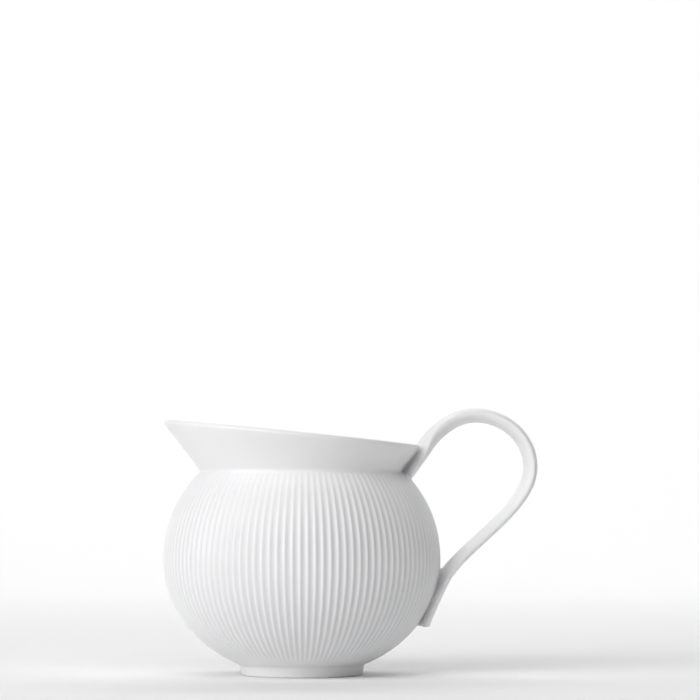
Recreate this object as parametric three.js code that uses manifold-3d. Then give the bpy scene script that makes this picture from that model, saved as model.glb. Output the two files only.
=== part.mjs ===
// Porcelain cream jug: an oval fluted body on a foot ring, a smooth flared collar whose rim is cut
// on a slant for pouring, and one loop handle luted to the collar and to the body with slip.
// Millimetres, +Z up. The handle points to +X and the pouring lip to -X. The origin is on the
// table, under the middle of the whole jug's box.

import * as THREE from "three";
import { mergeVertices } from "three/addons/utils/BufferGeometryUtils.js";
import Module from "manifold-3d";

// Body, an oval of revolution with upright flutes
const BODY_RADIUS = 45.85; // over the ridges, at the belly
const BODY_RISE = 41.67; // half height of the oval above the belly
const BODY_DROP = 38.66; // half height of the oval below the belly
const BODY_FULLNESS = 2.06; // 2 is a true ellipse, more is squarer
const BODY_WALL = 2.8; // from the ridges to the inside
const FLOOR_THICKNESS = 3;
const FLOOR_CORNER = 5; // how far the flat floor stops short of the inner wall
const FLUTE_COUNT = 116;
const FLUTE_DEPTH = 0.42; // at the belly, shallower where the flutes crowd together
const FLUTE_TOP_SHARE = 0.33; // share of the depth left at the neck
const FLUTE_GROWTH = 22; // from the neck down to the full depth
const FLUTE_FOOT_FADE = 5;

// Foot ring
const FOOT_RADIUS = 20.5;
const FOOT_COVE = 0.5; // how far the ring spreads where it meets the body
const FOOT_HEIGHT = 3.6;
const FOOT_WIDTH = 3.4;
const FOOT_COVE_START = 0.6; // share of the ring's height that stands upright below the cove
const FOOT_EDGE = 0.7; // rounding beside the resting face

// Collar, a cone of revolution cut on a slant
const NECK_RADIUS = 33.7;
const NECK_HOLLOW = 1.1; // radius of the hollow moulding between body and cone
const COLLAR_FLARE = THREE.MathUtils.degToRad(38.1); // from upright
const COLLAR_HEIGHT = 12.6; // from the neck to the rim, on the jug's axis
const COLLAR_WALL = 2.8;
const THROAT_HEIGHT = 3; // where the inner cone starts, above the neck
const RIM_FALL = THREE.MathUtils.degToRad(5.75); // from the lip down to the handle
const RIM_ROUNDING = 0.75;

// Handle, a strap with a crowned outer face and a rounder inner face
const HANDLE_WIDTH = 12; // across the jug
const HANDLE_THICKNESS = 4.7;
const HANDLE_CROWN = 0.285; // share of the thickness that lies outside the widest line
const UPPER_ROOT_CROWN = 0.7; // the same at the collar, where the outer side faces the cone
const HANDLE_RIM_SWELL = 0.7; // extra thickness where the strap leaves the rim
const HANDLE_WAIST = 0.55; // lost from the thickness in the lower sweep
const HANDLE_RISE = 10.05; // top of the centre line above the rim's back
const HANDLE_STANDOFF = 29.85; // centre line's reach beyond the belly
const HANDLE_SHOULDER = 17; // drop from the top of the centre line to its outermost point
const UPPER_ROOT_WIDTH = 19;
const UPPER_ROOT_REACH = 0.9; // how far the strap starts below the neck
const LOWER_ROOT_WIDTH = 18;
const LOWER_ROOT_TOP = 7.6; // below the belly
const LOWER_ROOT_END = 22.1; // below the belly
const LOWER_CUT = THREE.MathUtils.degToRad(13); // turn of the lower end's cut towards level
const ROOT_FLARE = 11; // from an end, the widest stretch of a root
const UPPER_FLARE_END = 22; // from the upper end, where the strap has its own width
const LOWER_FLARE_END = 34; // from the lower end
const RIM_SWELL_END = 33; // from the upper end
const WAIST_START = 33; // from the lower end
const WAIST_END = 66;

// How far the handle's centre line stands outside the wall, as shares of half the thickness
const UPPER_ROOT_OUT = 0.5;
const RIM_OUT = 0.35;
const LOWER_ROOT_TOP_OUT = 0.5;
const LOWER_ROOT_END_OUT = 0.7;

// The centre line's course
const ARCH_TOP_SHARE = 0.47; // place of the arch's top between the rim and the outermost point
const LOWER_ROOT_HEADING = THREE.MathUtils.degToRad(63); // slope where the strap meets the body
const LOWER_END_HEADING = THREE.MathUtils.degToRad(70);
const RIM_PULL = 0.2; // fullness of each curve, as shares of the span it crosses
const ARCH_PULL = 0.36;
const CROWN_PULL = 0.535;
const SHOULDER_PULL = 0.57;
const SWEEP_PULL = 0.38;
const LANDING_PULL = 0.35;

// Slip joints between the handle and the wall
const JOINT_GAP = 0.3; // clearance on each side of the slip
const SLIP_THICKNESS = 0.6;
const SLIP_SPREAD = 1.2; // how far the slip stands out round a root

// Fineness of the faceted surfaces
const ROWS_BELOW_BELLY = 7;
const ROWS_ABOVE_BELLY = 5;
const CAVITY_COLUMNS = 72;
const COLLAR_COLUMNS = 96;
const CAVITY_ROWS = 8;
const HANDLE_STEPS = 56;
const HANDLE_SIDES = 16;
const HOLLOW_ROWS = 3;
const CONE_ROWS = 4;
const CUTTER_OVERRUN = 2;
const WELD_DISTANCE = 1e-4;

const library = await Module();
library.setup();

// The level of the oval, as a share of its half height, where it has a given radius
function ovalLevel(radius) {
  return (1 - (radius / BODY_RADIUS) ** BODY_FULLNESS) ** (1 / BODY_FULLNESS);
}

const FOOT_SEAT_RADIUS = FOOT_RADIUS + FOOT_COVE;
const BELLY_Z = FOOT_HEIGHT + BODY_DROP * ovalLevel(FOOT_SEAT_RADIUS);
const NECK_Z = BELLY_Z + BODY_RISE * ovalLevel(NECK_RADIUS);
const FLOOR_Z = FOOT_HEIGHT + FLOOR_THICKNESS;

// The oval's radius at a height, with the whole oval drawn in by an inset
function ovalRadius(z, inset) {
  const half = (z > BELLY_Z ? BODY_RISE : BODY_DROP) - inset;
  const level = Math.min(1, Math.abs(z - BELLY_Z) / half);
  return (BODY_RADIUS - inset) * (1 - level ** BODY_FULLNESS) ** (1 / BODY_FULLNESS);
}

const CONE_SLOPE = Math.tan(COLLAR_FLARE);
const CONE_RADIUS = NECK_RADIUS + NECK_HOLLOW * (1 - Math.cos(COLLAR_FLARE));
const CONE_Z = NECK_Z + NECK_HOLLOW * Math.sin(COLLAR_FLARE);
const RIM_SLOPE = Math.tan(RIM_FALL);
const RIM_Z = NECK_Z + COLLAR_HEIGHT;

// The cone's radius at a height, with its surface moved outward by a distance
function coneRadius(z, grow) {
  return CONE_RADIUS + (z - CONE_Z) * CONE_SLOPE + grow / Math.cos(COLLAR_FLARE);
}

// Where the cone meets the slanted plane of the rim, in the half plane at an angle from +X
function rimCorner(angle, grow, lift) {
  const fall = RIM_SLOPE * Math.cos(angle);
  const radius = coneRadius(RIM_Z + lift, grow) / (1 + CONE_SLOPE * fall);
  return new THREE.Vector2(radius, RIM_Z + lift - fall * radius);
}

// A surface of revolution about Z whose section may change with the column it is drawn in
function revolve(sectionAt, columns) {
  const first = sectionAt(0, 0);
  const geometry = new THREE.LatheGeometry(first, columns);
  const position = geometry.getAttribute("position");
  for (let column = 0; column <= columns; column += 1) {
    const angle = ((column % columns) * 2 * Math.PI) / columns;
    sectionAt(angle, column % columns).forEach((point, row) => {
      const index = column * first.length + row;
      position.setXYZ(index, point.x * Math.cos(angle), point.x * Math.sin(angle), point.y);
    });
  }
  return geometry;
}

function solidFrom(geometry) {
  const bare = geometry.clone();
  bare.deleteAttribute("normal");
  bare.deleteAttribute("uv");
  const merged = mergeVertices(bare, WELD_DISTANCE);
  const mesh = new library.Mesh({
    numProp: 3,
    vertProperties: merged.getAttribute("position").array,
    triVerts: new Uint32Array(merged.index.array),
  });
  return new library.Manifold(mesh);
}

function geometryFrom(solid) {
  const mesh = solid.getMesh();
  const geometry = new THREE.BufferGeometry();
  geometry.setAttribute("position", new THREE.BufferAttribute(mesh.vertProperties, 3));
  geometry.setIndex(new THREE.BufferAttribute(mesh.triVerts, 1));
  geometry.computeVertexNormals();
  return geometry;
}

// Evenly spaced values from one number to another, both included
function spread(from, to, intervals) {
  return Array.from({ length: intervals + 1 }, (_, i) => THREE.MathUtils.lerp(from, to, i / intervals));
}

// The corner of a section rounded off: three points from the side of one neighbour to the other's
function roundedCorner(before, corner, after, radius) {
  const toBefore = before.clone().sub(corner).normalize();
  const toAfter = after.clone().sub(corner).normalize();
  const halfAngle = Math.acos(toBefore.dot(toAfter)) / 2;
  const tangent = radius / Math.tan(halfAngle);
  const middle = toBefore.clone().add(toAfter).normalize();
  return [
    corner.clone().addScaledVector(toBefore, tangent),
    corner.clone().addScaledVector(middle, radius / Math.sin(halfAngle) - radius),
    corner.clone().addScaledVector(toAfter, tangent),
  ];
}

// The depth of the flutes at a height
function fluteDepth(z) {
  const top = THREE.MathUtils.lerp(FLUTE_TOP_SHARE, 1, Math.min(1, (NECK_Z - z) / FLUTE_GROWTH));
  const foot = THREE.MathUtils.smoothstep(z, FOOT_HEIGHT, FOOT_HEIGHT + FLUTE_FOOT_FADE);
  return (FLUTE_DEPTH * top * foot * ovalRadius(z, 0)) / BODY_RADIUS;
}

function flutedBody() {
  const lowest = -Math.asin(ovalLevel(FOOT_SEAT_RADIUS));
  const highest = Math.asin(ovalLevel(NECK_RADIUS));
  const below = spread(lowest, 0, ROWS_BELOW_BELLY).map((turn) => BELLY_Z + BODY_DROP * Math.sin(turn));
  const above = spread(0, highest, ROWS_ABOVE_BELLY).map((turn) => BELLY_Z + BODY_RISE * Math.sin(turn));
  const heights = [FOOT_HEIGHT, ...below.slice(1), ...above.slice(1, -1), NECK_Z];
  const outside = revolve((angle, column) => {
    const valley = column % 2;
    const wall = heights.map((z) => new THREE.Vector2(ovalRadius(z, 0) - valley * fluteDepth(z), z));
    return [new THREE.Vector2(0, FOOT_HEIGHT), ...wall, new THREE.Vector2(0, NECK_Z)];
  }, 2 * FLUTE_COUNT);

  const floorRadius = ovalRadius(FLOOR_Z, BODY_WALL) - FLOOR_CORNER;
  const wallStart = FLOOR_Z + FLOOR_CORNER / 2;
  const inner = spread(wallStart, NECK_Z, CAVITY_ROWS).map(
    (z) => new THREE.Vector2(ovalRadius(z, BODY_WALL), z),
  );
  const cavity = revolve(
    () => [
      new THREE.Vector2(0, FLOOR_Z),
      new THREE.Vector2(floorRadius, FLOOR_Z),
      ...inner,
      new THREE.Vector2(ovalRadius(NECK_Z, BODY_WALL), NECK_Z + CUTTER_OVERRUN),
      new THREE.Vector2(0, NECK_Z + CUTTER_OVERRUN),
    ],
    CAVITY_COLUMNS,
  );
  return geometryFrom(solidFrom(outside).subtract(solidFrom(cavity)));
}

function collar() {
  const hollow = spread(0, COLLAR_FLARE, HOLLOW_ROWS).map(
    (turn) =>
      new THREE.Vector2(
        NECK_RADIUS + NECK_HOLLOW * (1 - Math.cos(turn)),
        NECK_Z + NECK_HOLLOW * Math.sin(turn),
      ),
  );
  const coneStart = hollow[hollow.length - 1];
  const throat = new THREE.Vector2(ovalRadius(NECK_Z, BODY_WALL), NECK_Z);
  const throatTop = NECK_Z + THROAT_HEIGHT;
  const innerStart = new THREE.Vector2(coneRadius(throatTop, -COLLAR_WALL), throatTop);
  return revolve((angle) => {
    const outer = rimCorner(angle, 0, 0);
    const inner = rimCorner(angle, -COLLAR_WALL, 0);
    return [
      ...hollow,
      ...roundedCorner(coneStart, outer, inner, RIM_ROUNDING),
      ...roundedCorner(outer, inner, innerStart, RIM_ROUNDING),
      innerStart,
      throat,
      hollow[0],
    ];
  }, COLLAR_COLUMNS);
}

function footRing() {
  const inside = FOOT_RADIUS - FOOT_WIDTH;
  const cut = FOOT_EDGE * (1 - Math.SQRT1_2); // the rounded edge's middle, in from the square corner
  const section = [
    [inside, FOOT_HEIGHT],
    [inside, FOOT_EDGE],
    [inside + cut, cut],
    [inside + FOOT_EDGE, 0],
    [FOOT_RADIUS - FOOT_EDGE, 0],
    [FOOT_RADIUS - cut, cut],
    [FOOT_RADIUS, FOOT_EDGE],
    [FOOT_RADIUS, FOOT_HEIGHT * FOOT_COVE_START],
    [FOOT_SEAT_RADIUS, FOOT_HEIGHT],
    [inside, FOOT_HEIGHT],
  ].map(([radius, z]) => new THREE.Vector2(radius, z));
  return revolve(() => section, CAVITY_COLUMNS);
}

// The handle's centre line, from the neck up the cone, over the rim's back, round the finger loop
// and down the body
function handlePath() {
  const rim = rimCorner(0, 0, 0);
  const half = HANDLE_THICKNESS / 2;
  const point = (x, z) => new THREE.Vector3(x, 0, z);
  const towards = (turn) => point(Math.cos(turn), Math.sin(turn));
  const moved = (from, direction, distance) => from.clone().addScaledVector(direction, distance);
  const onBody = (z, out) => point(ovalRadius(z, 0) + half * out, z);

  const start = point(NECK_RADIUS + half * UPPER_ROOT_OUT, NECK_Z - UPPER_ROOT_REACH);
  const overRim = point(rim.x + half * RIM_OUT, rim.y);
  const outermost = point(BODY_RADIUS + HANDLE_STANDOFF, rim.y + HANDLE_RISE - HANDLE_SHOULDER);
  const topX = THREE.MathUtils.lerp(overRim.x, outermost.x, ARCH_TOP_SHARE);
  const top = point(topX, rim.y + HANDLE_RISE);
  const rootTop = onBody(BELLY_Z - LOWER_ROOT_TOP, LOWER_ROOT_TOP_OUT);
  const rootEnd = onBody(BELLY_Z - LOWER_ROOT_END, LOWER_ROOT_END_OUT);

  const along = new THREE.Vector3(1, 0, 0);
  const up = new THREE.Vector3(0, 0, 1);
  const climb = overRim.clone().sub(start).normalize();
  const rimToOutermost = outermost.x - overRim.x;
  const descent = outermost.z - rootTop.z;
  const rootThird = rootTop.distanceTo(rootEnd) / 3;
  const landing = towards(LOWER_ROOT_HEADING);
  const ending = towards(LOWER_END_HEADING);
  const controls = [
    [start, start.clone().lerp(overRim, 1 / 3), start.clone().lerp(overRim, 2 / 3), overRim],
    [
      overRim,
      moved(overRim, climb, RIM_PULL * rimToOutermost),
      moved(top, along, -ARCH_PULL * (top.x - overRim.x)),
      top,
    ],
    [
      top,
      moved(top, along, CROWN_PULL * (outermost.x - top.x)),
      moved(outermost, up, SHOULDER_PULL * HANDLE_SHOULDER),
      outermost,
    ],
    [
      outermost,
      moved(outermost, up, -SWEEP_PULL * descent),
      moved(rootTop, landing, LANDING_PULL * descent),
      rootTop,
    ],
    [rootTop, moved(rootTop, landing, -rootThird), moved(rootEnd, ending, rootThird), rootEnd],
  ];
  const path = new THREE.CurvePath();
  controls.forEach((points) => path.add(new THREE.CubicBezierCurve3(...points)));
  return path;
}

// The strap's section: X runs across the jug and Y from the outer face to the finger side
function strapSection() {
  const outerDepth = HANDLE_CROWN * HANDLE_THICKNESS;
  const innerDepth = HANDLE_THICKNESS - outerDepth;
  const widestLine = outerDepth - HANDLE_THICKNESS / 2;
  const points = spread(0, 2 * Math.PI, HANDLE_SIDES)
    .slice(0, -1)
    .map((turn) => {
      const depth = Math.sin(turn) > 0 ? innerDepth : outerDepth;
      return new THREE.Vector2((Math.cos(turn) * HANDLE_WIDTH) / 2, widestLine + Math.sin(turn) * depth);
    });
  return new THREE.Shape(points);
}

// The strap's crown, width and thickness at a place on it
function strapSize(fromStart, fromEnd) {
  const { smoothstep } = THREE.MathUtils;
  const upper = 1 - smoothstep(fromStart, ROOT_FLARE / 2, UPPER_FLARE_END);
  const lower = 1 - smoothstep(fromEnd, ROOT_FLARE, LOWER_FLARE_END);
  const swell = smoothstep(fromStart, 0, ROOT_FLARE) - smoothstep(fromStart, ROOT_FLARE, RIM_SWELL_END);
  const waist =
    smoothstep(fromEnd, ROOT_FLARE, WAIST_START) -
    smoothstep(fromEnd, WAIST_START + ROOT_FLARE, WAIST_END);
  const crown = THREE.MathUtils.lerp(HANDLE_CROWN, UPPER_ROOT_CROWN, upper);
  return {
    crown,
    width:
      HANDLE_WIDTH +
      (UPPER_ROOT_WIDTH - HANDLE_WIDTH) * upper +
      (LOWER_ROOT_WIDTH - HANDLE_WIDTH) * lower,
    thickness: HANDLE_THICKNESS + HANDLE_RIM_SWELL * swell - HANDLE_WAIST * waist,
  };
}

// The swept strap before it is fitted to the jug, standing out by a margin all round
function strap(margin) {
  const path = handlePath();
  const geometry = new THREE.ExtrudeGeometry(strapSection(), {
    steps: HANDLE_STEPS,
    extrudePath: path,
    bevelEnabled: false,
  });
  const centres = path.getSpacedPoints(HANDLE_STEPS);
  const stepLength = path.getLength() / HANDLE_STEPS;
  const position = geometry.getAttribute("position");
  const vertex = new THREE.Vector3();
  for (let i = 0; i < position.count; i += 1) {
    vertex.fromBufferAttribute(position, i);
    const flat = vertex.clone().setY(0);
    const distances = centres.map((centre) => centre.distanceToSquared(flat));
    const nearest = distances.indexOf(Math.min(...distances));
    const fromEnd = (HANDLE_STEPS - nearest) * stepLength;
    const { crown, width, thickness } = strapSize(nearest * stepLength, fromEnd);

    const ahead = path.getTangentAt(nearest / HANDLE_STEPS);
    const outside = new THREE.Vector3(-ahead.z, 0, ahead.x);
    const depth = 0.5 - flat.sub(centres[nearest]).dot(outside) / HANDLE_THICKNESS;
    const moved =
      depth < HANDLE_CROWN
        ? (depth * crown) / HANDLE_CROWN
        : 1 - ((1 - depth) * (1 - crown)) / (1 - HANDLE_CROWN);
    const lift = (0.5 - moved) * (thickness + 2 * margin);
    const slant = Math.tan(LOWER_CUT) * (1 - THREE.MathUtils.smoothstep(fromEnd, 0, ROOT_FLARE / 2));
    const placed = centres[nearest].clone().addScaledVector(outside, lift);
    placed.addScaledVector(ahead, -slant * lift);
    placed.y = (vertex.y * (width + 2 * margin)) / HANDLE_WIDTH;
    position.setXYZ(i, placed.x, placed.y, placed.z);
  }
  return geometry;
}

// The whole outside of body and collar as a filled solid, grown by a distance
function filledJug(grow) {
  const bodyHeights = spread(FOOT_HEIGHT, NECK_Z, ROWS_BELOW_BELLY + ROWS_ABOVE_BELLY);
  return revolve((angle) => {
    const corner = rimCorner(angle, grow, grow);
    const heights = [...bodyHeights.slice(0, -1), ...spread(NECK_Z, corner.y, CONE_ROWS)];
    const wall = heights.map((z) => {
      const radius = Math.max(ovalRadius(z, -grow), coneRadius(z, grow));
      return new THREE.Vector2(radius, z);
    });
    return [new THREE.Vector2(0, FOOT_HEIGHT), ...wall, new THREE.Vector2(0, RIM_Z + grow)];
  }, COLLAR_COLUMNS);
}

// The handle cut to the wall, and the slip between them at each root
function handleAndSlip() {
  const slipInside = solidFrom(filledJug(JOINT_GAP));
  const slipOutside = solidFrom(filledJug(JOINT_GAP + SLIP_THICKNESS));
  const seat = solidFrom(filledJug(2 * JOINT_GAP + SLIP_THICKNESS));
  const handle = solidFrom(strap(0)).subtract(seat);
  const slip = solidFrom(strap(SLIP_SPREAD)).intersect(slipOutside).subtract(slipInside);
  const pads = slip.decompose().sort((a, b) => b.boundingBox().max[2] - a.boundingBox().max[2]);
  return { handle: geometryFrom(handle), upper: geometryFrom(pads[0]), lower: geometryFrom(pads[1]) };
}

function porcelain(color, roughness) {
  return new THREE.MeshStandardMaterial({ color, roughness, metalness: 0 });
}

const GLAZED = porcelain(0xf4f4f2, 0.35);
const FOOT = porcelain(0xefeeea, 0.45);
const SLIP = porcelain(0xf1f1ef, 0.4);

function piece(name, geometry, material) {
  const mesh = new THREE.Mesh(geometry, material);
  mesh.name = name;
  return mesh;
}

const joined = handleAndSlip();
const standing = new THREE.Group(); // drawn about the body's own axis
standing.add(
  piece("fluted_body", flutedBody(), GLAZED),
  piece("collar", collar(), GLAZED),
  piece("foot_ring", footRing(), FOOT),
  piece("handle", joined.handle, GLAZED),
  piece("upper_handle_slip", joined.upper, SLIP),
  piece("lower_handle_slip", joined.lower, SLIP),
);
const box = new THREE.Box3().setFromObject(standing);
standing.position.x = -(box.min.x + box.max.x) / 2;

const creamJug = new THREE.Group();
creamJug.add(standing);

export default creamJug;
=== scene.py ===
"""Looks of a porcelain cream jug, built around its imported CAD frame.

Metres, +Z up. The handle points to +X and the pouring lip to -X. The jug is drawn about its own
axis, which stands at AXIS_X in the frame. Each piece stands for one CAD node, as build() says.
"""

import math

import bpy
import numpy as np
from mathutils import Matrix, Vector
from mathutils.bvhtree import BVHTree


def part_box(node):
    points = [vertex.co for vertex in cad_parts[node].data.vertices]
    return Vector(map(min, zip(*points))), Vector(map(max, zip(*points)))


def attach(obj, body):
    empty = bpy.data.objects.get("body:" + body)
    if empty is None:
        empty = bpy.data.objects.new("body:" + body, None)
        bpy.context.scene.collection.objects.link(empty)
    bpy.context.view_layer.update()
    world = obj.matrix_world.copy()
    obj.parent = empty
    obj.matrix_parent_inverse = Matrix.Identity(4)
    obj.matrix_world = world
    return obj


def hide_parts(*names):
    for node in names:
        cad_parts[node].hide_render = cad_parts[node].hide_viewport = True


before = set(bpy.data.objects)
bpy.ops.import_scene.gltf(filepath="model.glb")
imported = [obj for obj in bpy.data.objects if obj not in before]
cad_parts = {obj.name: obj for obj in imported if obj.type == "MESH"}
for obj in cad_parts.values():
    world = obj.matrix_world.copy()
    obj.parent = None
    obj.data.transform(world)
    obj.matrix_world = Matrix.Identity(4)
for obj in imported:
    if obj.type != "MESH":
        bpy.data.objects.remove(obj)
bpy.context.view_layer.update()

# Places taken from the frame
BODY_LOW, BODY_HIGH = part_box("fluted_body")
FOOT_LOW, FOOT_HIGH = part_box("foot_ring")
AXIS_X = (BODY_LOW.x + BODY_HIGH.x) / 2
BODY_RADIUS = (BODY_HIGH.x - BODY_LOW.x) / 2
FOOT_TOP = BODY_LOW.z
NECK_Z = BODY_HIGH.z
SEAT_RADIUS = (FOOT_HIGH.x - FOOT_LOW.x) / 2

# Body, an oval of revolution with upright flutes
BODY_RISE = 0.04167  # half height of the oval above the belly
BODY_DROP = 0.03866  # half height of the oval below the belly
BODY_FULLNESS = 2.06  # 2 is a true ellipse, more is squarer
BODY_WALL = 0.0028
FLOOR_THICKNESS = 0.003
FLOOR_CORNER = 0.009
CORNER_REACH = 0.0095  # how far the corner's curve reaches in over the floor
WALL_PULL = 0.004  # how long that curve holds the wall's direction
FLOOR_PULL = 0.005  # how long it holds the floor's
BASE_DOME = 0.0006  # rise of the underside inside the foot ring
DOME_SPREAD = 0.0165  # where the dome would meet the foot ring's level
DOME_EDGE = 0.0168  # where the flat seat of the foot ring starts
DOME_RINGS = (0.004, 0.008, 0.012, 0.0155)
FLUTE_COUNT = 116
FLUTE_DEPTH = 0.0004  # at the belly
FLUTE_RIDGE = 0.3  # share of the half flute that the rounded ridge takes
FLUTE_TOP_SHARE = 0.33  # share of the depth left at the neck
FLUTE_GROWTH = 0.022  # from the neck down to the full depth
FLUTE_FOOT = 0.005  # above the foot ring, where the flutes have faded in
FLUTE_STOPS = (0.0, 0.07, 0.17, 0.32, 0.5, 0.68, 0.83, 0.93)  # columns across one flute
BODY_ROWS = 62  # up the outside
INNER_ROWS = 26  # down the inside

# Foot ring
FOOT_WIDTH = 0.0034
FOOT_EDGE = 0.0007
FOOT_COVE = 0.0005  # how far the ring spreads where it meets the body
COVE_TOP = 0.00065  # how far the cove has spread at its top, inside the body
COVE_HEIGHT = 0.0011
COVE_SUNK = 0.0002  # how far the cove reaches up into the body
FOOT_SUNK = 0.0001  # how far the ring's inside does
FOOT_FIRST_ROW = 0.0004  # below the ring's top
FOOT_TAPER = 0.0003  # how much narrower it is at the table

# Collar, a cone of revolution cut on a slant
NECK_RADIUS = 0.0337
NECK_HOLLOW = 0.0012  # radius of the curve between the body and the cone
NECK_SUNK = 0.00006  # the hollow's edge runs out under the ridges
COLLAR_FLARE = math.radians(38.1)
CONE_SPRING = 0.0011  # radius of the curve that the cone springs from at the neck
CONE_RADIUS = NECK_RADIUS + CONE_SPRING * (1 - math.cos(COLLAR_FLARE))
CONE_RISE = CONE_SPRING * math.sin(COLLAR_FLARE)  # above the neck, where it has that radius
COLLAR_HEIGHT = 0.0126
COLLAR_WALL = 0.0028
THROAT_RISE = 0.0035  # above the neck, where the collar's inside starts to turn down
THROAT_DROP = 0.0004  # below the neck, where it meets the bowl
COLLAR_PULL = 0.0022  # how long the turn holds the collar's direction
BOWL_PULL = 0.0018  # how long it holds the bowl's
COLLAR_SEAT = 0.0006  # how far the collar's foot reaches into the body's wall
RIM_FALL = math.radians(5.75)
RIM_ROUNDING = 0.00095
SLOPE_STEP = 0.001  # along a wall, to the next point that tells its direction
LATHE_COLUMNS = 232  # round the collar and the foot ring

# Handle, a strap with a crowned outer face and a rounder inner face
HANDLE_WIDTH = 0.012
HANDLE_THICKNESS = 0.0047
HANDLE_CROWN = 0.285  # share of the thickness outside the widest line
UPPER_ROOT_CROWN = 0.8  # the same at the collar, where the outer side faces the cone
UPPER_UNDERCUT = 1.3  # how sharply a root narrows towards the wall
LOWER_UNDERCUT = 1.2
CROTCH_UNDERCUT = 5.0  # the same where the strap leaves the body
CROTCH_PLACE = 0.020  # from the lower end
ROOT_WEB = 0.0018  # half thickness that an undercut leaves beside the wall
HANDLE_RIM_SWELL = 0.0007  # added to the thickness at the rim
HANDLE_WAIST = 0.00055  # lost from the thickness in the lower sweep
HANDLE_RISE = 0.01005
HANDLE_STANDOFF = 0.02985
HANDLE_SHOULDER = 0.017  # from the top down to the outermost place
UPPER_ROOT_WIDTH = 0.019
UPPER_ROOT_REACH = 0.0006
LOWER_ROOT_WIDTH = 0.018
LOWER_ROOT_TOP = 0.0076
LOWER_ROOT_END = 0.0221
ROOT_FLARE = 0.011  # from an end, the widest stretch of a root
UPPER_FLARE_END = 0.022  # from the upper end, where the strap has its own width
LOWER_FLARE_END = 0.034  # from the lower end
RIM_SWELL_END = 0.033  # from the upper end
WAIST_START = 0.033  # from the lower end
WAIST_END = 0.066
ROOT_ROUNDING = 0.0005
LOWER_CUT = math.radians(13)  # turn of the lower end's cut towards level
LOWER_CUT_REACH = 0.006  # from the lower end, where the turn has faded out

# Shares of half the thickness by which the strap's middle stands off the wall
UPPER_ROOT_OUT = 0.5
RIM_OUT = 0.35
LOWER_ROOT_TOP_OUT = 0.5
LOWER_ROOT_END_OUT = 0.7

# Curves of the strap's middle line
ARCH_TOP_SHARE = 0.47  # of the way out from the rim
LOWER_ROOT_HEADING = math.radians(63)
LOWER_END_HEADING = math.radians(70)
RIM_PULL = 0.2016  # this and the next are shares of the way that each curve covers
ARCH_PULL = 0.36
CROWN_PULL = 0.535
SHOULDER_PULL = 0.57
SWEEP_PULL = 0.38
LANDING_PULL = 0.35
CURVE_POINTS = 400
HANDLE_STATIONS = 240
HANDLE_SIDES = 72

# Slip smoothed into the crease between the handle and the wall
SLIP_FILLET = 0.0012
WIDE_FILLET = 0.0022  # from the crotch up to the neck
WIDEN_START = 0.008  # below the belly
WIDEN_END = 0.003  # below the belly
NARROW_START = 0.001  # below the neck
NARROW_END = 0.003  # above the neck
SLIP_BURY = 0.00006  # the fillet's edge runs out this far under the glaze
SLIP_REACH = 0.0022  # from the wall and from the strap
SLIP_DEPTH = 0.0012  # into the wall
SLIP_MARGIN = 0.0008  # sampled beyond the reach and the depth
OVAL_COUNTED = 0.004  # above the neck, up to where the oval counts as wall
SLIP_CELL = 0.00025
SLIP_STEP = 0.00002  # for the slope of the field

# Camera and paper
CAMERA_DISTANCE = 1.0624
CAMERA_HEIGHT = 0.0643
CAMERA_ASIDE = 0.01587
CAMERA_LENS = 164.57
CAMERA_TILT = math.radians(2.33)
PAPER_BEND = 0.6  # radius of its curve up to the wall

# Materials
GLAZE_IOR = 1.5
WHITE = (0.862, 0.86, 0.867)
POOLED = (0.80, 0.801, 0.812)
# Painted shade: the darker colour that the flute hollows get, standing in for the shade that falls in
# them
PAINTED_GROOVE_SHADE = (0.72, 0.722, 0.735)
BISCUIT = (0.80, 0.79, 0.765)
SCUFFED = (0.55, 0.545, 0.53)
PAPER_WHITE = (0.95, 0.95, 0.95)


def smoothstep(value, low, high):
    share = np.clip((value - low) / (high - low), 0, 1)
    return share * share * (3 - 2 * share)


def oval_level(radius):
    """Level of the oval, as a share of its half height, where it has a given radius."""
    return (1 - (radius / BODY_RADIUS) ** BODY_FULLNESS) ** (1 / BODY_FULLNESS)


BELLY_Z = FOOT_TOP + BODY_DROP * oval_level(SEAT_RADIUS)
FLOOR_Z = FOOT_TOP + FLOOR_THICKNESS
RIM_Z = NECK_Z + COLLAR_HEIGHT
THROAT_Z = NECK_Z - THROAT_DROP
CONE_SLOPE = math.tan(COLLAR_FLARE)


def oval_radius(z, inset=0.0):
    """Radius of the oval at a height, with the whole oval drawn in by an inset."""
    half = np.where(z > BELLY_Z, BODY_RISE, BODY_DROP) - inset
    level = np.minimum(1, np.abs(z - BELLY_Z) / half)
    return (BODY_RADIUS - inset) * (1 - level**BODY_FULLNESS) ** (1 / BODY_FULLNESS)


def cone_radius(z, grow=0.0):
    """Radius of the collar's cone at a height, with its surface moved outward."""
    base = CONE_RADIUS + (z - NECK_Z - CONE_RISE) * CONE_SLOPE
    return base + grow / math.cos(COLLAR_FLARE)


def arc(centre, radius, start, end, count):
    """Points (radius, height) of an arc between two angles in degrees."""
    turns = np.radians(np.linspace(start, end, count))
    return [(centre[0] + radius * math.cos(t), centre[1] + radius * math.sin(t)) for t in turns]


def bezier(points, count):
    """Points of a cubic curve from its four control points."""
    a, b, c, d = (np.array(p, float) for p in points)
    t = np.linspace(0, 1, count)[:, None]
    return (1 - t) ** 3 * a + 3 * (1 - t) ** 2 * t * b + 3 * (1 - t) * t * t * c + t**3 * d


# Meshes


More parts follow.
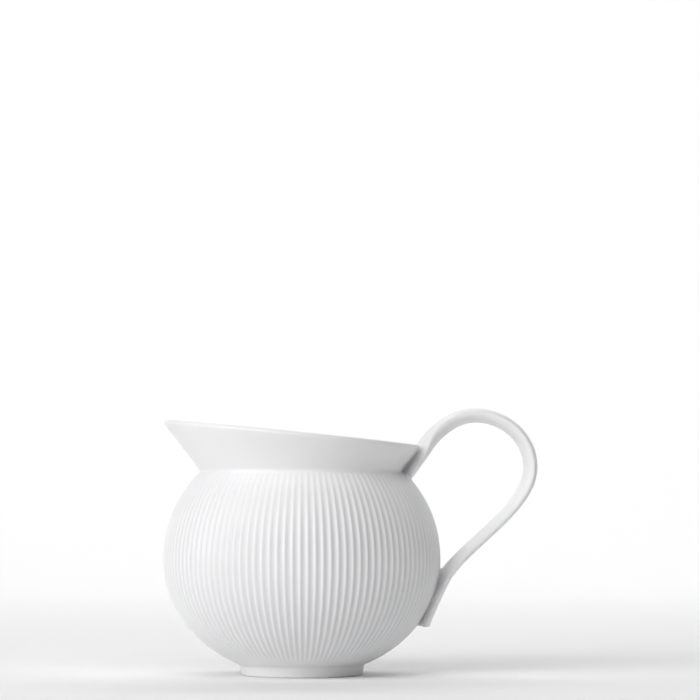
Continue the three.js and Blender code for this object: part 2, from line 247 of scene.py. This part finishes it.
def skin(rings, closed=False):
    """Vertices and faces that join rings of points, where neighbouring counts divide each other."""
    starts = np.cumsum([0] + [len(r) for r in rings])
    faces = []
    pairs = list(zip(range(len(rings)), range(1, len(rings))))
    if closed:
        pairs.append((len(rings) - 1, 0))
    for low, high in pairs:
        few, many = sorted((low, high), key=lambda i: len(rings[i]))
        step = len(rings[many]) // len(rings[few])
        for i in range(len(rings[few])):
            base = [starts[few] + i, starts[few] + (i + 1) % len(rings[few])]
            if len(rings[few]) == 1:
                base = base[:1]
                spans = [(j, j + 1) for j in range(step)]
            else:
                spans = [(i * step, i * step + step)]
            for first, last in spans:
                edge = [starts[many] + j % len(rings[many]) for j in range(first, last + 1)]
                face = base + edge[::-1]
                faces.append(face if few == low else face[::-1])
    return np.concatenate(rings), faces


def mesh_object(name, vertices, faces, material, sharp=40):
    mesh = bpy.data.meshes.new(name)
    mesh.from_pydata([tuple(v) for v in vertices], [], [[int(i) for i in f] for f in faces])
    mesh.validate()
    mesh.shade_smooth()
    mesh.set_sharp_from_angle(angle=math.radians(sharp))
    mesh.materials.append(material)
    piece = bpy.data.objects.new(name, mesh)
    bpy.context.scene.collection.objects.link(piece)
    return piece


def add_share(piece, name, values):
    """A number on each vertex, which the materials read."""
    attribute = piece.data.attributes.new(name, "FLOAT", "POINT")
    attribute.data.foreach_set("value", np.asarray(values, np.float32))


def lathe_ring(radius, z, angles):
    """Points round the jug's axis. Radius and height are numbers or arrays over the angles."""
    points = np.empty((len(angles), 3))
    points[:, 0] = AXIS_X + radius * np.cos(angles)
    points[:, 1] = radius * np.sin(angles)
    points[:, 2] = z
    return points


def even_angles(count):
    return np.arange(count) * 2 * math.pi / count


# Body


def flute_profile(away):
    """Depth of a flute from 0 to 1, where away is 0 in its middle and 1 on the ridge's crest."""
    away = np.minimum(away, 1)
    hollow = 1 - away**2
    crest = FLUTE_RIDGE + (1 - FLUTE_RIDGE) / FLUTE_RIDGE * (1 - away) ** 2
    depth = np.where(away < 1 - FLUTE_RIDGE, hollow, crest)
    return (depth - FLUTE_RIDGE) / (1 - FLUTE_RIDGE)


def flute_share(across, z):
    """Depth of a flute at a height from 0 to 1: shallow at the neck and faded out at the foot."""
    grown = min(1, max(0, NECK_Z - z) / FLUTE_GROWTH)
    top = FLUTE_TOP_SHARE + (1 - FLUTE_TOP_SHARE) * grown
    return flute_profile(across) * top * smoothstep(z, FOOT_TOP, FOOT_TOP + FLUTE_FOOT)


def fluted_body(material):
    flute = np.arange(FLUTE_COUNT)[:, None]
    stops = (flute + np.array(FLUTE_STOPS)[None, :]).ravel()
    angles = stops * 2 * math.pi / FLUTE_COUNT
    across = np.abs(2 * (stops % 1) - 1)  # 1 on a ridge, 0 in the middle of a flute
    coarse = even_angles(FLUTE_COUNT)

    lowest, highest = -math.asin(oval_level(SEAT_RADIUS)), math.asin(oval_level(NECK_RADIUS))
    turns = np.linspace(lowest, highest, BODY_ROWS)
    heights = BELLY_Z + np.where(turns > 0, BODY_RISE, BODY_DROP) * np.sin(turns)
    heights[0], heights[-1] = FOOT_TOP, NECK_Z

    rings, hollow = [], []

    def add_plain(sections):
        for radius, z in sections:
            rings.append(lathe_ring(radius, z, coarse if radius else coarse[:1]))
            hollow.append(np.zeros(len(rings[-1])))

    dome = [(r, FOOT_TOP + BASE_DOME * (1 - (r / DOME_SPREAD) ** 2)) for r in DOME_RINGS]
    add_plain([(0, FOOT_TOP + BASE_DOME), *dome, (DOME_EDGE, FOOT_TOP)])
    for z in heights:
        share = flute_share(across, z)
        radius = oval_radius(z)
        rings.append(lathe_ring(radius - share * FLUTE_DEPTH * radius / BODY_RADIUS, z, angles))
        hollow.append(share)
    add_plain(inner_wall())
    vertices, faces = skin(rings)
    piece = mesh_object("body_porcelain", vertices, faces, material)
    # The flute depth share, by which the glaze paints shade into the hollows
    add_share(piece, "hollow", np.concatenate(hollow))
    return piece


def inner_wall():
    """The bowl's inside from the neck down to the middle of the floor."""
    heights = np.linspace(THROAT_Z, FLOOR_Z + FLOOR_CORNER / 2, INNER_ROWS)
    wall = np.stack([oval_radius(heights, BODY_WALL), heights], axis=1)
    end = wall[-1]
    ahead = (end - wall[-2]) / np.linalg.norm(end - wall[-2])
    flat = np.array([end[0] - CORNER_REACH, FLOOR_Z])
    corner = bezier([end, end + ahead * WALL_PULL, flat + (FLOOR_PULL, 0), flat], 9)[1:]
    inside = [(flat[0] * share, FLOOR_Z) for share in (0.75, 0.5, 0.25, 0)]
    return [*wall, *corner, *inside]


# Collar


def rim_corner(angle, grow):
    """Where the cone meets the slanted plane of the rim, in the half plane at an angle from +X."""
    fall = math.tan(RIM_FALL) * math.cos(angle)
    radius = cone_radius(RIM_Z, grow) / (1 + CONE_SLOPE * fall)
    return np.array([radius, RIM_Z - fall * radius])


def rounded(before, corner, after, radius, count):
    """Points of the arc that rounds off a corner."""
    to_before = (before - corner) / np.linalg.norm(before - corner)
    to_after = (after - corner) / np.linalg.norm(after - corner)
    half = math.acos(float(np.clip(to_before @ to_after, -1, 1))) / 2
    middle = (to_before + to_after) / np.linalg.norm(to_before + to_after)
    centre = corner + middle * radius / math.sin(half)
    first = corner + to_before * radius / math.tan(half) - centre
    last = corner + to_after * radius / math.tan(half) - centre
    sweep = math.pi - 2 * half
    weights = np.linspace(0, 1, count)
    return [
        centre + (math.sin((1 - w) * sweep) * first + math.sin(w * sweep) * last) / math.sin(sweep)
        for w in weights
    ]


def collar_sections(angle):
    """The collar's outline in one half plane: out, over the rim and down the inside."""
    low, neck = (np.array([oval_radius(z, NECK_SUNK), z]) for z in (NECK_Z - SLOPE_STEP, NECK_Z))
    step = (neck - low) / (neck[1] - low[1])
    rise = (neck[0] - cone_radius(NECK_Z)) / (CONE_SLOPE - step[0])
    corner = neck + step * rise
    high = np.array([cone_radius(corner[1] + SLOPE_STEP), corner[1] + SLOPE_STEP])
    hollow = rounded(low, corner, high, NECK_HOLLOW, 12)
    cone_start = hollow[-1]
    outer = rim_corner(angle, 0)
    inner = rim_corner(angle, -COLLAR_WALL)
    throat_top_z = NECK_Z + THROAT_RISE
    throat_top = np.array([cone_radius(throat_top_z, -COLLAR_WALL), throat_top_z])
    lip = rounded(cone_start, outer, inner, RIM_ROUNDING, 9)
    edge = rounded(outer, inner, throat_top, RIM_ROUNDING, 9)
    face = [cone_start + (lip[0] - cone_start) * s for s in np.linspace(0, 1, 12)[1:-1]]
    back = [edge[-1] + (throat_top - edge[-1]) * s for s in np.linspace(0, 1, 10)[1:]]
    below, bowl = (
        np.array([oval_radius(z, BODY_WALL), z]) for z in (THROAT_Z - SLOPE_STEP, THROAT_Z)
    )
    inward = (bowl - below) / np.linalg.norm(bowl - below)
    down = (back[-1] - back[-2]) / np.linalg.norm(back[-1] - back[-2])
    turn = [throat_top, throat_top + down * COLLAR_PULL, bowl + inward * BOWL_PULL, bowl]
    throat = bezier(turn, 9)[1:]
    seat = [hollow[0] - (COLLAR_SEAT, 0)]
    return np.array([*hollow, *face, *lip, *edge, *back, *throat, *seat])


def collar(material):
    angles = even_angles(LATHE_COLUMNS)
    sections = np.array([collar_sections(a) for a in angles])
    rings = [
        lathe_ring(sections[:, row, 0], sections[:, row, 1], angles)
        for row in range(sections.shape[1])
    ]
    vertices, faces = skin(rings, closed=True)
    return mesh_object("collar_porcelain", vertices, faces, material)


# Foot ring


def foot_ring(material):
    outside = SEAT_RADIUS - FOOT_COVE
    inside = outside - FOOT_WIDTH
    edge = outside - FOOT_TAPER
    cove_start = FOOT_TOP - COVE_HEIGHT
    cove = [
        (outside + COVE_TOP * share**2, cove_start + (COVE_HEIGHT + COVE_SUNK) * share)
        for share in np.linspace(0, 1, 7)
    ]
    section = [
        (inside, FOOT_TOP + FOOT_SUNK),
        *[(inside, z) for z in np.linspace(FOOT_TOP - FOOT_FIRST_ROW, FOOT_EDGE, 5)],
        *arc((inside + FOOT_EDGE, FOOT_EDGE), FOOT_EDGE, 180, 270, 7)[1:],
        *arc((edge - FOOT_EDGE, FOOT_EDGE), FOOT_EDGE, 270, 360, 7),
        (edge + (outside - edge) / 2, (FOOT_EDGE + cove_start) / 2),
        *cove,
    ]
    angles = even_angles(LATHE_COLUMNS)
    rings = [lathe_ring(radius, z, angles) for radius, z in section]
    vertices, faces = skin(rings, closed=True)
    return mesh_object("foot_porcelain_ring", vertices, faces, material)


# Handle


def heading(angle):
    """Unit step in the half plane, at an angle above the outward direction."""
    return np.array([math.cos(angle), math.sin(angle)])


def handle_line():
    """Fine points of the strap's middle line, in the plane Y = 0."""
    rim = rim_corner(0, 0)
    half = HANDLE_THICKNESS / 2
    start = np.array([NECK_RADIUS + half * UPPER_ROOT_OUT, NECK_Z - UPPER_ROOT_REACH])
    over_rim = np.array([rim[0] + half * RIM_OUT, rim[1]])
    outermost = np.array([BODY_RADIUS + HANDLE_STANDOFF, rim[1] + HANDLE_RISE - HANDLE_SHOULDER])
    span = outermost[0] - over_rim[0]
    top = np.array([over_rim[0] + span * ARCH_TOP_SHARE, rim[1] + HANDLE_RISE])
    root_top_z, root_end_z = BELLY_Z - LOWER_ROOT_TOP, BELLY_Z - LOWER_ROOT_END
    root_top = np.array([oval_radius(root_top_z) + half * LOWER_ROOT_TOP_OUT, root_top_z])
    root_end = np.array([oval_radius(root_end_z) + half * LOWER_ROOT_END_OUT, root_end_z])

    across, along = np.array([1.0, 0.0]), np.array([0.0, 1.0])
    climb = (over_rim - start) / 3
    leave_rim = (over_rim - start) / np.linalg.norm(over_rim - start) * RIM_PULL * span
    reach_top = across * ARCH_PULL * (top[0] - over_rim[0])
    leave_top = across * CROWN_PULL * (outermost[0] - top[0])
    shoulder = along * SHOULDER_PULL * HANDLE_SHOULDER
    descent = outermost[1] - root_top[1]
    sweep = along * SWEEP_PULL * descent
    landing = heading(LOWER_ROOT_HEADING) * LANDING_PULL * descent
    root = np.linalg.norm(root_top - root_end) / 3
    root_leave, root_land = heading(LOWER_ROOT_HEADING) * root, heading(LOWER_END_HEADING) * root
    curves = [
        [start, start + climb, start + climb * 2, over_rim],
        [over_rim, over_rim + leave_rim, top - reach_top, top],
        [top, top + leave_top, outermost + shoulder, outermost],
        [outermost, outermost - sweep, root_top + landing, root_top],
        [root_top, root_top - root_leave, root_end + root_land, root_end],
    ]
    return np.concatenate([bezier(c, CURVE_POINTS)[:-1] for c in curves] + [root_end[None, :]])


def handle_path():
    """The strap's sections: their centres, the direction it runs in, and the way from its start."""
    line = handle_line()
    steps = np.linalg.norm(np.diff(line, axis=0), axis=1)
    travelled = np.concatenate([[0], np.cumsum(steps)])
    ends = ROOT_ROUNDING * (1 - np.cos(np.linspace(0, math.pi / 2, 7)))
    middle = np.linspace(ROOT_ROUNDING, travelled[-1] - ROOT_ROUNDING, HANDLE_STATIONS)
    stations = np.concatenate([ends[:-1], middle, (travelled[-1] - ends[:-1])[::-1]])
    centres = np.stack([np.interp(stations, travelled, line[:, i]) for i in (0, 1)], axis=1)
    smooth = np.stack([np.gradient(line[:, i], travelled) for i in (0, 1)], axis=1)
    ahead = np.stack([np.interp(stations, travelled, smooth[:, i]) for i in (0, 1)], axis=1)
    return centres, ahead / np.linalg.norm(ahead, axis=1)[:, None], stations


def handle(material):
    centres, ahead, stations = handle_path()
    length = stations[-1]
    turns = even_angles(HANDLE_SIDES)
    rings = []
    for centre, direction, from_start in zip(centres, ahead, stations):
        from_end = length - from_start
        upper = 1 - smoothstep(from_start, ROOT_FLARE / 2, UPPER_FLARE_END)
        lower = 1 - smoothstep(from_end, ROOT_FLARE, LOWER_FLARE_END)
        width = HANDLE_WIDTH + (UPPER_ROOT_WIDTH - HANDLE_WIDTH) * upper
        width += (LOWER_ROOT_WIDTH - HANDLE_WIDTH) * lower
        swell = smoothstep(from_start, 0, ROOT_FLARE)
        swell -= smoothstep(from_start, ROOT_FLARE, RIM_SWELL_END)
        waist = smoothstep(from_end, ROOT_FLARE, WAIST_START)
        waist -= smoothstep(from_end, WAIST_START + ROOT_FLARE, WAIST_END)
        thickness = HANDLE_THICKNESS + HANDLE_RIM_SWELL * swell - HANDLE_WAIST * waist
        crown = HANDLE_CROWN + (UPPER_ROOT_CROWN - HANDLE_CROWN) * upper
        to_end = max(0, ROOT_ROUNDING - min(from_start, from_end))
        inset = ROOT_ROUNDING - math.sqrt(max(0, ROOT_ROUNDING**2 - to_end**2))
        outward = np.array([-direction[1], direction[0]])
        depth = np.where(np.sin(turns) > 0, crown, 1 - crown) * thickness
        lift = (0.5 - crown) * thickness + np.sin(turns) * (depth - inset)
        near_crotch = smoothstep(from_end, CROTCH_PLACE / 2, CROTCH_PLACE)
        beyond_crotch = smoothstep(from_end, CROTCH_PLACE, CROTCH_PLACE * 1.5)
        lower_undercut = LOWER_UNDERCUT + (CROTCH_UNDERCUT - LOWER_UNDERCUT) * near_crotch
        lower_undercut *= 1 - beyond_crotch
        undercut = np.where(np.sin(turns) > 0, UPPER_UNDERCUT * upper, lower_undercut)
        taper = np.abs(np.cos(turns)) ** undercut
        side = np.cos(turns) * np.maximum(taper * (width / 2 - inset), ROOT_WEB)
        slant = -math.tan(LOWER_CUT) * (1 - smoothstep(from_end, 0, LOWER_CUT_REACH))
        points = np.empty((HANDLE_SIDES, 3))
        points[:, 0] = AXIS_X + centre[0] + (outward[0] + slant * direction[0]) * lift
        points[:, 1] = side
        points[:, 2] = centre[1] + (outward[1] + slant * direction[1]) * lift
        rings.append(points)
    first, last = (ring.mean(axis=0)[None, :] for ring in (rings[0], rings[-1]))
    vertices, faces = skin([first, *rings, last])
    return mesh_object("handle_porcelain", vertices, faces, material, sharp=80)


# Slip


def blunt_edge(first, second, between):
    """Distance outside the rounded edge of two faces. Between is the cosine of their normals."""
    u, v = first + RIM_ROUNDING, second + RIM_ROUNDING
    along_first = (u - between * v) / (1 - between**2)
    along_second = (v - between * u) / (1 - between**2)
    square = along_first**2 + along_second**2 + 2 * between * along_first * along_second
    at_edge = (along_first > 0) & (along_second > 0)
    return np.where(at_edge, np.sqrt(np.maximum(0, square)), np.maximum(u, v)) - RIM_ROUNDING


def wall_distance(points, sunk):
    """Rough distance outside the jug's wall, whose surface is taken as sunk a little.

    The second value leaves the collar's inside out, so it tells how deep a point lies in the wall.
    """
    radius = np.hypot(points[:, 0] - AXIS_X, points[:, 1])
    z = points[:, 2]
    oval = (radius - oval_radius(z, sunk)) * oval_steepness(z)
    cone = (radius - cone_radius(z, -sunk)) * math.cos(COLLAR_FLARE)
    above_rim = (z - RIM_Z + (points[:, 0] - AXIS_X) * math.tan(RIM_FALL)) * math.cos(RIM_FALL)
    above_rim += sunk
    side = np.where(z < NECK_Z + OVAL_COUNTED, np.minimum(oval, cone), cone)
    within = (cone_radius(z, -COLLAR_WALL) - radius) * math.cos(COLLAR_FLARE) + sunk
    between = math.sin(COLLAR_FLARE - RIM_FALL)
    wall = np.maximum(blunt_edge(side, above_rim, -between), blunt_edge(above_rim, within, between))
    return wall, np.maximum(side, above_rim)


def oval_steepness(z):
    """Share of a level distance to the oval that is the distance square to it."""
    slope = (oval_radius(z + SLIP_STEP / 2) - oval_radius(z - SLIP_STEP / 2)) / SLIP_STEP
    return 1 / np.hypot(1, slope)


def handle_distance(points, tree):
    """Distance outside the strap."""
    found = np.empty(len(points))
    for i, point in enumerate(points):
        nearest, normal, _, distance = tree.find_nearest(Vector(point))
        found[i] = math.copysign(distance, (Vector(point) - nearest).dot(normal))
    return found


def slip_field(points, tree, sunk):
    """Negative inside the slip, which fills the crease and reaches a little into wall and handle."""
    wall, outside = wall_distance(points, sunk)
    strap = handle_distance(points, tree) + SLIP_BURY
    wide = smoothstep(points[:, 2], BELLY_Z - WIDEN_START, BELLY_Z - WIDEN_END)
    wide -= smoothstep(points[:, 2], NECK_Z - NARROW_START, NECK_Z + NARROW_END)
    fillet = SLIP_FILLET + (WIDE_FILLET - SLIP_FILLET) * wide
    overlap = np.maximum(fillet - np.abs(wall - strap), 0) / fillet
    joined = np.minimum(wall, strap) - overlap**2 * fillet / 4
    limits = [-SLIP_DEPTH - outside, wall - SLIP_REACH, strap - SLIP_REACH]
    return np.maximum.reduce([joined, *limits])


def surface_net(field, corner, cell):
    """Vertices and faces of the zero surface of a sampled field that is negative inside."""
    inside = field < 0
    counts = np.array(field.shape) - 1
    total, crossings = np.zeros((*counts, 3)), np.zeros(tuple(counts))
    offsets = [(i, j, k) for i in (0, 1) for j in (0, 1) for k in (0, 1)]

    def at(grid, offset):
        """A value from one corner of every cell."""
        return grid[tuple(slice(o, o + count) for o, count in zip(offset, counts))]

    for a in offsets:
        for b in offsets:
            if a < b and sum(abs(x - y) for x, y in zip(a, b)) == 1:
                fa, fb = at(field, a), at(field, b)
                cut = at(inside, a) != at(inside, b)
                share = np.where(cut, fa / np.where(cut, fa - fb, 1), 0)[..., None]
                spot = np.array(a) + share * (np.array(b) - np.array(a))
                total += np.where(cut[..., None], spot, 0)
                crossings += cut
    active = crossings > 0
    index = np.full(active.shape, -1)
    index[active] = np.arange(active.sum())
    cells = np.argwhere(active)
    vertices = corner + (cells + total[active] / crossings[active][:, None]) * cell
    faces = []
    for axis in range(3):
        u, v = (axis + 1) % 3, (axis + 2) % 3
        ahead = np.roll(inside, -1, axis)
        change = inside != ahead
        np.moveaxis(change, axis, 0)[-1] = False
        for spot in np.argwhere(change):
            if spot[u] == 0 or spot[v] == 0:
                continue
            around = []
            for du, dv in ((0, 0), (-1, 0), (-1, -1), (0, -1)):
                neighbour = spot.copy()
                neighbour[u] += du
                neighbour[v] += dv
                around.append(index[tuple(neighbour)])
            faces.append(around if inside[tuple(spot)] else around[::-1])
    return vertices, faces


def slip(name, low, high, sunk, tree, material):
    """One joint's slip, drawn as the zero surface of its field inside a box."""
    low, high = np.array(low), np.array(high)
    counts = np.ceil((high - low) / SLIP_CELL).astype(int) + 1
    axes = [low[i] + np.arange(counts[i]) * SLIP_CELL for i in range(3)]
    grid = np.stack(np.meshgrid(*axes, indexing="ij"), axis=-1).reshape(-1, 3)
    field = np.full(len(grid), SLIP_REACH)
    wall, _ = wall_distance(grid, sunk)
    near = (wall > -SLIP_DEPTH - SLIP_MARGIN) & (wall < SLIP_REACH + SLIP_MARGIN)
    field[near] = slip_field(grid[near], tree, sunk)
    field = field.reshape(tuple(counts))
    for side in (0, -1):
        field[side], field[:, side], field[:, :, side] = (SLIP_CELL,) * 3
    vertices, faces = surface_net(field, low, SLIP_CELL)
    for _ in range(2):
        value = slip_field(vertices, tree, sunk)
        shifted = [slip_field(vertices + s, tree, sunk) for s in np.eye(3) * SLIP_STEP]
        slope = np.stack([(moved - value) / SLIP_STEP for moved in shifted], axis=1)
        move = (value / np.maximum((slope**2).sum(axis=1), 0.2))[:, None] * slope
        limit = SLIP_CELL / 2 / np.maximum(np.linalg.norm(move, axis=1), SLIP_CELL / 2)
        vertices = vertices - move * limit[:, None]
    return mesh_object(name, vertices, faces, material, sharp=60)


# Materials


class Nodes:
    """A material's node tree, with short calls to add and join nodes."""

    def __init__(self, name):
        self.material = bpy.data.materials.new(name)
        self.material.use_nodes = True
        self.tree = self.material.node_tree
        self.tree.nodes.clear()
        self.coordinates = None
        self.shader = self.add("ShaderNodeBsdfPrincipled")
        output = self.add("ShaderNodeOutputMaterial")
        self.join(self.shader.outputs["BSDF"], output.inputs["Surface"])

    def add(self, kind, **inputs):
        node = self.tree.nodes.new(kind)
        for name, value in inputs.items():
            node.inputs[name.replace("_", " ")].default_value = value
        return node

    def join(self, source, target):
        self.tree.links.new(source, target)

    def noise(self, scale, detail=3.0, roughness=0.5):
        node = self.add("ShaderNodeTexNoise", Scale=scale, Detail=detail, Roughness=roughness)
        self.join(self.place(), node.inputs["Vector"])
        return node.outputs["Fac"]

    def place(self):
        if self.coordinates is None:
            self.coordinates = self.add("ShaderNodeTexCoord").outputs["Object"]
        return self.coordinates

    def attribute(self, name):
        node = self.add("ShaderNodeAttribute")
        node.attribute_name = name
        return node.outputs["Fac"]

    def range(self, source, low, high, to_low, to_high):
        node = self.add("ShaderNodeMapRange")
        names = ("From Min", "From Max", "To Min", "To Max")
        for name, value in zip(names, (low, high, to_low, to_high)):
            node.inputs[name].default_value = value
        self.join(source, node.inputs["Value"])
        return node.outputs["Result"]

    def mix(self, share, first, second):
        node = self.add("ShaderNodeMix")
        node.data_type = "RGBA"
        self.join(share, node.inputs["Factor"])
        for socket, value in ((node.inputs[6], first), (node.inputs[7], second)):
            if isinstance(value, tuple):
                socket.default_value = (*value, 1)
            else:
                self.join(value, socket)
        return node.outputs[2]

    def sum(self, *sources):
        total = sources[0]
        for source in sources[1:]:
            node = self.add("ShaderNodeMath")
            node.operation = "ADD"
            self.join(total, node.inputs[0])
            self.join(source, node.inputs[1])
            total = node.outputs[0]
        return total

    def times(self, first, second):
        node = self.add("ShaderNodeMath")
        node.operation = "MULTIPLY"
        self.join(first, node.inputs[0])
        self.join(second, node.inputs[1])
        return node.outputs[0]

    def bump(self, height, strength, distance):
        node = self.add("ShaderNodeBump", Strength=strength, Distance=distance)
        self.join(height, node.inputs["Height"])
        self.join(node.outputs["Normal"], self.shader.inputs["Normal"])


def glazed(name, flutes=False):
    """White porcelain under a satin glaze that is a little uneven in colour, gloss and surface; with
    flutes, their hollows are darkened with painted shade.
    """
    nodes = Nodes(name)
    clouds = nodes.range(nodes.noise(38, detail=3), 0.3, 0.7, 0, 0.5)
    colour = nodes.mix(clouds, WHITE, POOLED)
    if flutes:
        # Painted shade: the flute hollows are darkened towards the groove colour by their depth
        groove_shade_share = nodes.range(nodes.attribute("hollow"), 0.1, 1, 0, 0.9)
        colour = nodes.mix(groove_shade_share, colour, PAINTED_GROOVE_SHADE)
    nodes.join(colour, nodes.shader.inputs["Base Color"])
    gloss = nodes.range(nodes.noise(90, detail=4), 0.3, 0.7, 0.38, 0.48)
    nodes.join(gloss, nodes.shader.inputs["Roughness"])
    waves = nodes.range(nodes.noise(160, detail=2), 0, 1, 0, 0.8)
    grain = nodes.range(nodes.noise(1500, detail=2), 0, 1, 0, 0.12)
    nodes.bump(nodes.sum(waves, grain), 0.25, 0.00005)
    nodes.shader.inputs["IOR"].default_value = GLAZE_IOR
    return nodes.material


def foot_glaze(name):
    """Glazed ring whose resting edge is bare, ground porcelain with grey scuffs."""
    nodes = Nodes(name)
    height = nodes.add("ShaderNodeSeparateXYZ")
    nodes.join(nodes.place(), height.inputs["Vector"])
    ragged = nodes.range(nodes.noise(420, detail=3), 0, 1, -0.00025, 0.00025)
    edge = nodes.range(nodes.sum(height.outputs["Z"], ragged), 0.00035, 0.00055, 1, 0)
    clouds = nodes.range(nodes.noise(38, detail=3), 0.3, 0.7, 0, 0.5)
    scuffs = nodes.range(nodes.noise(700, detail=5, roughness=0.7), 0.52, 0.75, 0, 0.6)
    glaze = nodes.mix(clouds, WHITE, POOLED)
    bare = nodes.mix(scuffs, BISCUIT, SCUFFED)
    nodes.join(nodes.mix(edge, glaze, bare), nodes.shader.inputs["Base Color"])
    nodes.join(nodes.range(edge, 0, 1, 0.32, 0.75), nodes.shader.inputs["Roughness"])
    grain = nodes.times(nodes.noise(2600, detail=3), nodes.range(edge, 0, 1, 0.15, 1))
    nodes.bump(grain, 0.4, 0.00005)
    nodes.shader.inputs["IOR"].default_value = GLAZE_IOR
    return nodes.material


# Stage


def stage_material(name):
    nodes = Nodes(name)
    nodes.shader.inputs["Base Color"].default_value = (*PAPER_WHITE, 1)
    nodes.shader.inputs["Roughness"].default_value = 0.9
    nodes.shader.inputs["Specular IOR Level"].default_value = 0.1
    return nodes.material


def paper(name, ahead, start, flat_end, rise_to, side, lift=0.0):
    """A pale sheet that lies flat from start to flat_end ahead of the jug and curves up to a wall."""
    ahead = Vector(ahead)
    across = Vector((ahead.y, -ahead.x, 0))
    turns = np.linspace(0.1, math.pi / 2, 16)
    curve = [
        (flat_end + PAPER_BEND * math.sin(t), PAPER_BEND - PAPER_BEND * math.cos(t)) for t in turns
    ]
    profile = [(start, -lift), (flat_end, 0.0), *curve, (flat_end + PAPER_BEND, rise_to)]
    vertices = [
        ahead * run + across * offset + Vector((0, 0, z + lift))
        for run, z in profile
        for offset in (-side, side)
    ]
    faces = [(2 * i, 2 * i + 1, 2 * i + 3, 2 * i + 2) for i in range(len(profile) - 1)]
    mesh_object(name, vertices, faces, stage_material(name))


def floor():
    paper("paper_floor", (0, 1, 0), -2.2, 0.8, 2.2, 2.5)
    paper("side_paper", (-1, 0, 0), 1.0, 1.6, 1.4, 1.2, lift=0.0005)


def area_light(name, place, aim, size, power):
    light = bpy.data.lights.new(name, "AREA")
    light.shape = "RECTANGLE"
    light.size, light.size_y = size
    light.energy = power
    lamp = bpy.data.objects.new(name, light)
    lamp.location = place
    lamp.rotation_euler = (Vector(aim) - Vector(place)).to_track_quat("-Z", "Y").to_euler()
    bpy.context.scene.collection.objects.link(lamp)


def lights():
    middle = (0, 0, 0.05)
    area_light("key_tent", (-1.0, -1.0, 0.6), middle, (1.1, 1.1), 14.2)
    area_light("top_tent", (0, -1.0, 1.2), middle, (1.3, 1.0), 8.2)
    area_light("right_fill", (1.3, -0.1, 0.6), middle, (1.0, 1.0), 0.9)
    area_light("back_fill", (1.1, 0.7, 0.6), middle, (1.0, 1.0), 1.9)
    area_light("paper_light", (0, 0.9, 1.5), (0, 1.4, 0.5), (2.0, 0.6), 14.6)
    area_light("side_paper_light", (-1.7, 0, 1.5), (-2.2, 0, 0.4), (1.2, 0.4), 1.0)
    world = bpy.data.worlds.new("studio")
    world.use_nodes = True
    world.node_tree.nodes["Background"].inputs["Color"].default_value = (1, 1, 1, 1)
    world.node_tree.nodes["Background"].inputs["Strength"].default_value = 0.02
    bpy.context.scene.world = world


def camera():
    data = bpy.data.cameras.new("camera")
    data.lens = CAMERA_LENS
    data.sensor_width = 36
    data.clip_start, data.clip_end = 0.05, 20
    view = bpy.data.objects.new("camera", data)
    view.location = (AXIS_X + CAMERA_ASIDE, -CAMERA_DISTANCE, CAMERA_HEIGHT)
    view.rotation_euler = (math.pi / 2 + CAMERA_TILT, 0, 0)
    bpy.context.scene.collection.objects.link(view)
    bpy.context.scene.camera = view


def build():
    plain = glazed("satin_glaze")
    body = fluted_body(glazed("satin_glaze_on_flutes", flutes=True))
    cone = collar(plain)
    ring = foot_ring(foot_glaze("foot_porcelain"))
    strap = handle(plain)
    tree = BVHTree.FromPolygons(
        [v.co for v in strap.data.vertices], [p.vertices[:] for p in strap.data.polygons]
    )
    rim_back = rim_corner(0, 0)
    upper = slip(
        "upper_slip_fillet",
        (AXIS_X + 0.028, -0.0145, NECK_Z - 0.006),
        (AXIS_X + rim_back[0] + 0.006, 0.0145, rim_back[1] + 0.002),
        SLIP_BURY,
        tree,
        plain,
    )
    lower = slip(
        "lower_slip_fillet",
        (AXIS_X + 0.034, -0.0135, BELLY_Z - LOWER_ROOT_END - 0.004),
        (AXIS_X + BODY_RADIUS + 0.004, 0.0135, BELLY_Z - LOWER_ROOT_TOP + 0.013),
        SLIP_BURY + FLUTE_DEPTH,
        tree,
        plain,
    )
    stands_for = (
        (body, "fluted_body", "glazed_porcelain"),
        (cone, "collar", "glazed_porcelain"),
        (strap, "handle", "glazed_porcelain"),
        (ring, "foot_ring", "foot_porcelain"),
        (upper, "upper_handle_slip", "fired_slip"),
        (lower, "lower_handle_slip", "fired_slip"),
    )
    for piece, node, slot in stands_for:
        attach(piece, "root")
        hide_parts(node)


build()
floor()
lights()
camera()
bpy.context.scene.view_settings.view_transform = "Standard"
